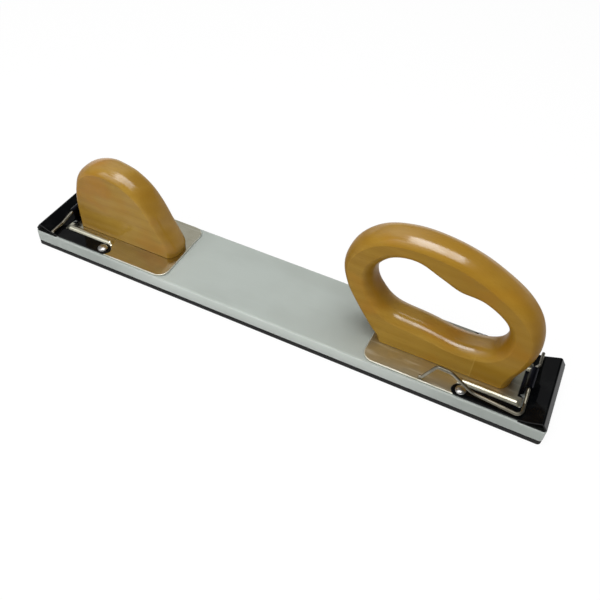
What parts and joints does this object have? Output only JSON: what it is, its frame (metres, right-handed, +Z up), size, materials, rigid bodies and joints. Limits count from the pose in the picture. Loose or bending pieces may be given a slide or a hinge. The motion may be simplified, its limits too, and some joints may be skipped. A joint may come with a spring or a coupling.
{
  "type": "flexible sanding board",
  "caption": "Long flexible hand sanding board with a D-shaped wooden grip, a wooden front knob and a spring paper clamp with a wire lever at each end.",
  "frame": {"origin": "centre of the sole's bottom face", "axes": "+X along the board toward the D-shaped rear grip, +Y across the board to its far long side, +Z up"},
  "size_m": [0.4444, 0.07, 0.1223],
  "materials": {
    "pale_plastic": "satin pale grey",
    "black_rubber": "matt black",
    "bright_plating": "bright nickel plate",
    "black_steel": "gloss black",
    "varnished_wood": "clear gloss varnish",
    "bright_wire": "bright nickel plate",
    "zinc_steel": "bright zinc plate"
  },
  "bodies": {
    "board": {"base_board": "pale_plastic", "rubber_pad": "black_rubber", "rear_plate": "bright_plating", "front_plate": "bright_plating", "rear_handle": "varnished_wood", "front_knob": "varnished_wood", "rear_rivet_lever_side": "zinc_steel", "rear_rivet_washer_lever_side": "zinc_steel", "rear_rivet_plain_side": "zinc_steel", "rear_rivet_washer_plain_side": "zinc_steel", "rear_screw_inner": "zinc_steel", "rear_screw_washer_inner": "zinc_steel", "rear_screw_outer": "zinc_steel", "rear_screw_washer_outer": "zinc_steel", "front_rivet_lever_side": "zinc_steel", "front_rivet_washer_lever_side": "zinc_steel", "front_rivet_plain_side": "zinc_steel", "front_rivet_washer_plain_side": "zinc_steel", "front_screw_inner": "zinc_steel", "front_screw_washer_inner": "zinc_steel", "front_screw_outer": "zinc_steel", "front_screw_washer_outer": "zinc_steel"},
    "rear_lever": {"rear_lever": "bright_wire"},
    "rear_jaw": {"rear_jaw": "black_steel"},
    "front_lever": {"front_lever": "bright_wire"},
    "front_jaw": {"front_jaw": "black_steel"}
  },
  "joints": [
    {"name": "rear_lever_hinge", "type": "hinge", "parent": "board", "child": "rear_lever", "pos_m": [0.20105, 0, 0.0256], "axis": [0, 1, 0], "range_deg": [0, 100]},
    {"name": "rear_jaw_hinge", "type": "hinge", "parent": "board", "child": "rear_jaw", "pos_m": [0.15705, 0, 0.0166], "axis": [0, -1, 0], "range_deg": [0, 2]},
    {"name": "front_lever_hinge", "type": "hinge", "parent": "board", "child": "front_lever", "pos_m": [-0.20105, 0, 0.0256], "axis": [0, -1, 0], "range_deg": [0, 100]},
    {"name": "front_jaw_hinge", "type": "hinge", "parent": "board", "child": "front_jaw", "pos_m": [-0.15705, 0, 0.0166], "axis": [0, 1, 0], "range_deg": [0, 2]}
  ],
  "couplings": [
    {"joint": "rear_jaw_hinge", "follows": "rear_lever_hinge", "ratio": 0.02},
    {"joint": "front_jaw_hinge", "follows": "front_lever_hinge", "ratio": 0.02}
  ]
}
